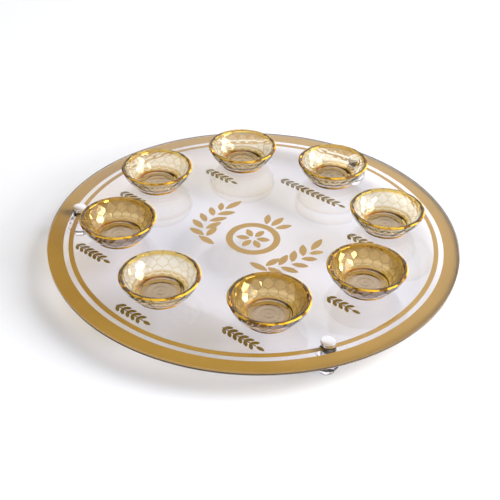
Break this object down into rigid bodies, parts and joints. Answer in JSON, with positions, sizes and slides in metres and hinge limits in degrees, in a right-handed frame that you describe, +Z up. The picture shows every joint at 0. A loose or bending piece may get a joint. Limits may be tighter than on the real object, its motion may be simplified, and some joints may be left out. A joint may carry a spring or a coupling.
{
  "type": "rosh hashanah plate",
  "caption": "Round clear glass plate with a gold rim on crystal standoff feet, carrying a ring of small loose faceted amber glass bowls for holiday foods.",
  "frame": {"origin": "centre of the plate, on the table surface that its feet stand on", "axes": "+Z up; +Y from the plate's centre to the foot and bowl at 12 o'clock; +X to the right, 3 o'clock"},
  "size_m": [0.36, 0.36, 0.0448],
  "materials": {
    "clear_glass": "polished clear float glass",
    "gold_print": "satin gold ink under glass",
    "amber_glass": "polished amber pressed glass",
    "polished_steel": "polished steel",
    "dark_rubber": "matte dark rubber",
    "clear_silicone": "clear silicone",
    "cut_crystal": "polished cut crystal"
  },
  "bodies": {
    "tray": {"tray_glass": "clear_glass", "gold_band": "gold_print", "gold_line_1": "gold_print", "gold_line_2": "gold_print", "gold_line_3": "gold_print", "foot_cap_1": "polished_steel", "cap_gasket_1": "dark_rubber", "foot_stud_1": "polished_steel", "foot_washer_1": "clear_silicone", "crystal_foot_1": "cut_crystal", "foot_pad_1": "clear_silicone", "foot_cap_2": "polished_steel", "cap_gasket_2": "dark_rubber", "foot_stud_2": "polished_steel", "foot_washer_2": "clear_silicone", "crystal_foot_2": "cut_crystal", "foot_pad_2": "clear_silicone", "foot_cap_3": "polished_steel", "cap_gasket_3": "dark_rubber", "foot_stud_3": "polished_steel", "foot_washer_3": "clear_silicone", "crystal_foot_3": "cut_crystal", "foot_pad_3": "clear_silicone"},
    "bowl_1": {"bowl_1": "amber_glass"},
    "bowl_2": {"bowl_2": "amber_glass"},
    "bowl_3": {"bowl_3": "amber_glass"},
    "bowl_4": {"bowl_4": "amber_glass"},
    "bowl_5": {"bowl_5": "amber_glass"},
    "bowl_6": {"bowl_6": "amber_glass"},
    "bowl_7": {"bowl_7": "amber_glass"},
    "bowl_8": {"bowl_8": "amber_glass"}
  },
  "joints": [
    {"name": "bowl_1_lift", "type": "slide", "parent": "tray", "child": "bowl_1", "axis": [0, 0, 1], "range_m": [0, 0.06]},
    {"name": "bowl_2_lift", "type": "slide", "parent": "tray", "child": "bowl_2", "axis": [0, 0, 1], "range_m": [0, 0.06]},
    {"name": "bowl_3_lift", "type": "slide", "parent": "tray", "child": "bowl_3", "axis": [0, 0, 1], "range_m": [0, 0.06]},
    {"name": "bowl_4_lift", "type": "slide", "parent": "tray", "child": "bowl_4", "axis": [0, 0, 1], "range_m": [0, 0.06]},
    {"name": "bowl_5_lift", "type": "slide", "parent": "tray", "child": "bowl_5", "axis": [0, 0, 1], "range_m": [0, 0.06]},
    {"name": "bowl_6_lift", "type": "slide", "parent": "tray", "child": "bowl_6", "axis": [0, 0, 1], "range_m": [0, 0.06]},
    {"name": "bowl_7_lift", "type": "slide", "parent": "tray", "child": "bowl_7", "axis": [0, 0, 1], "range_m": [0, 0.06]},
    {"name": "bowl_8_lift", "type": "slide", "parent": "tray", "child": "bowl_8", "axis": [0, 0, 1], "range_m": [0, 0.06]}
  ]
}
